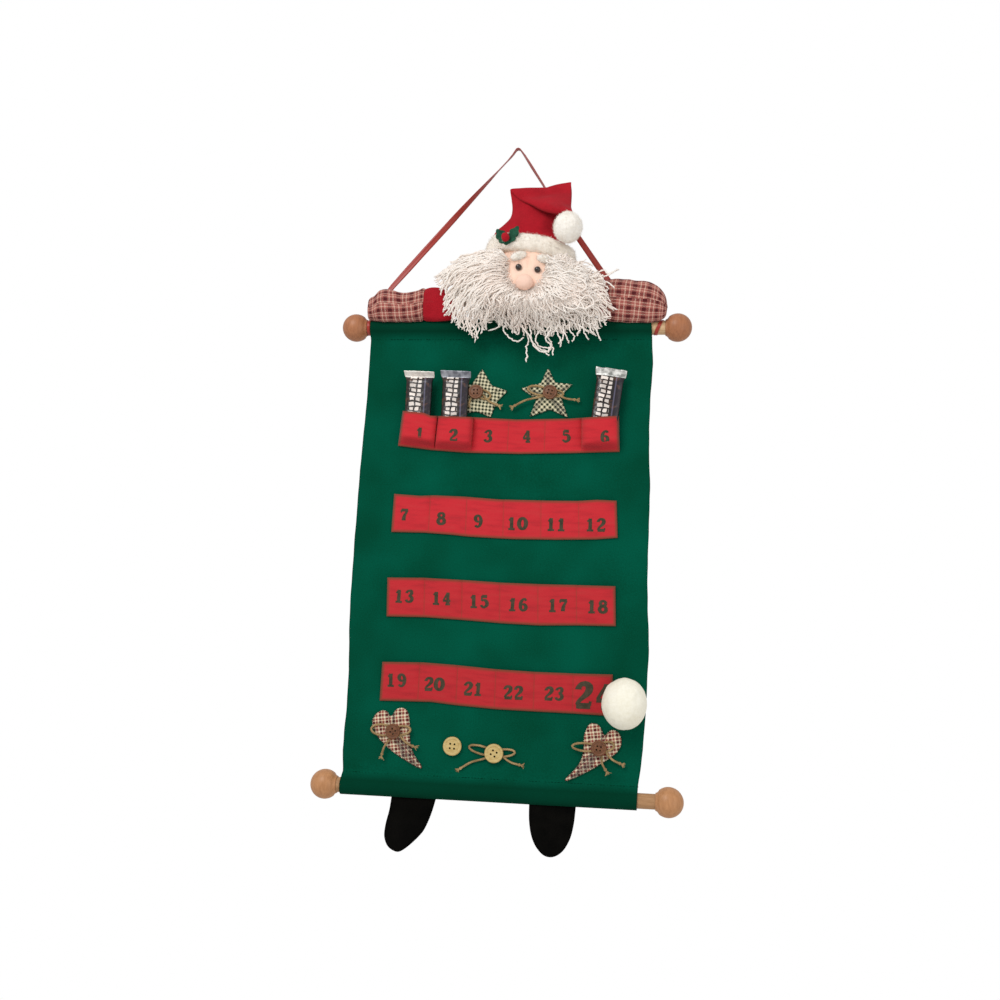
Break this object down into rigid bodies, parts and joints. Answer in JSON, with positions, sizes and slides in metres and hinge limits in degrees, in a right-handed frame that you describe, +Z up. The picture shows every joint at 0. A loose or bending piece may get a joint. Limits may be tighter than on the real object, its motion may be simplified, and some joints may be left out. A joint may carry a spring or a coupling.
{
  "type": "fabric advent calendar wall hanging",
  "caption": "Green cloth banner on two wooden rods with rows of red sweet pockets, a stuffed Father Christmas over the top rod and felt boots below, hung by a ribbon.",
  "frame": {"origin": "underside of the hanger ribbon's bend, where it lies on the nail", "axes": "+X to the viewer's right, +Y into the wall, +Z up; the front faces -Y"},
  "size_m": [0.3778, 0.0756, 0.7599],
  "materials": {
    "green_cloth": "matte woven cotton cloth",
    "red_cotton": "matte woven cotton",
    "red_felt": "soft matte felt",
    "plaid_cotton": "red, burgundy and cream plaid cotton",
    "gingham_cotton": "cream and dark green gingham cotton",
    "heart_cotton": "red, green and cream plaid cotton",
    "white_fleece": "off-white fleece and pompom yarn",
    "white_yarn": "white twisted yarn",
    "skin_cloth": "peach brushed cloth",
    "black_felt": "black felt",
    "black_bead": "glossy black bead",
    "holly_felt": "dark green felt",
    "turned_wood": "turned hardwood, thin satin finish",
    "brown_button": "brown wooden button",
    "pale_button": "pale wooden button",
    "jute_twine": "natural jute twine",
    "red_satin": "red satin ribbon",
    "foil_wrapper": "glossy dark brown wrapper with silver crimped ends"
  },
  "bodies": {
    "hanger": {"hanger_ribbon": "red_satin", "top_rod": "turned_wood", "top_ball_left": "turned_wood", "top_ball_right": "turned_wood"},
    "banner": {"banner": "green_cloth", "pocket_strip_1": "red_cotton", "pocket_strip_2": "red_cotton", "pocket_strip_3": "red_cotton", "pocket_strip_4": "red_cotton", "star_left": "gingham_cotton", "star_right": "gingham_cotton", "star_bow_left": "jute_twine", "star_bow_right": "jute_twine", "star_button_left": "brown_button", "star_button_right": "brown_button", "heart_left": "heart_cotton", "heart_right": "heart_cotton", "heart_bow_left": "jute_twine", "heart_bow_right": "jute_twine", "heart_button_left": "brown_button", "heart_button_right": "brown_button", "pale_button_left": "pale_button", "pale_button_right": "pale_button", "button_bow": "jute_twine", "snowball": "white_fleece", "head": "skin_cloth", "hat_brim": "white_fleece", "hat_crown": "red_felt", "beard": "white_yarn", "nose": "skin_cloth", "eye_left": "black_bead", "eye_right": "black_bead", "eyebrow_left": "white_fleece", "eyebrow_right": "white_fleece", "sleeve_left": "plaid_cotton", "sleeve_right": "plaid_cotton", "mitten_left": "red_felt", "mitten_right": "red_felt", "holly_leaf_left": "holly_felt", "holly_leaf_right": "holly_felt", "holly_berry": "red_felt"},
    "bottom_rod": {"bottom_rod": "turned_wood", "bottom_ball_left": "turned_wood", "bottom_ball_right": "turned_wood"},
    "boot_left": {"boot_left": "black_felt"},
    "boot_right": {"boot_right": "black_felt"},
    "hat_pompom": {"hat_pompom": "white_fleece"},
    "bar_1": {"bar_1": "foil_wrapper"},
    "bar_2": {"bar_2": "foil_wrapper"},
    "bar_6": {"bar_6": "foil_wrapper"}
  },
  "joints": [
    {"name": "banner_swing", "type": "hinge", "parent": "hanger", "child": "banner", "pos_m": [0, -0.0081, -0.209], "axis": [1, 0, 0], "range_deg": [-6, 0]},
    {"name": "bottom_rod_spin", "type": "hinge", "parent": "banner", "child": "bottom_rod", "pos_m": [0, -0.0081, -0.694], "axis": [1, 0, 0], "continuous": true},
    {"name": "boot_left_swing", "type": "hinge", "parent": "banner", "child": "boot_left", "pos_m": [-0.08, -0.0081, -0.7054], "axis": [1, 0, 0], "range_deg": [-80, 15]},
    {"name": "boot_right_swing", "type": "hinge", "parent": "banner", "child": "boot_right", "pos_m": [0.063, -0.0081, -0.7054], "axis": [1, 0, 0], "range_deg": [-80, 15]},
    {"name": "pompom_swing", "type": "hinge", "parent": "banner", "child": "hat_pompom", "pos_m": [0.06016, -0.05385, -0.09286], "axis": [1, 0, 0], "range_deg": [-35, 0]},
    {"name": "bar_1_lift", "type": "slide", "parent": "banner", "child": "bar_1", "axis": [0, 0, 1], "range_m": [0, 0.036]},
    {"name": "bar_2_lift", "type": "slide", "parent": "banner", "child": "bar_2", "axis": [0, 0, 1], "range_m": [0, 0.036]},
    {"name": "bar_6_lift", "type": "slide", "parent": "banner", "child": "bar_6", "axis": [0.1115, 0, 0.9938], "range_m": [0, 0.036]}
  ]
}
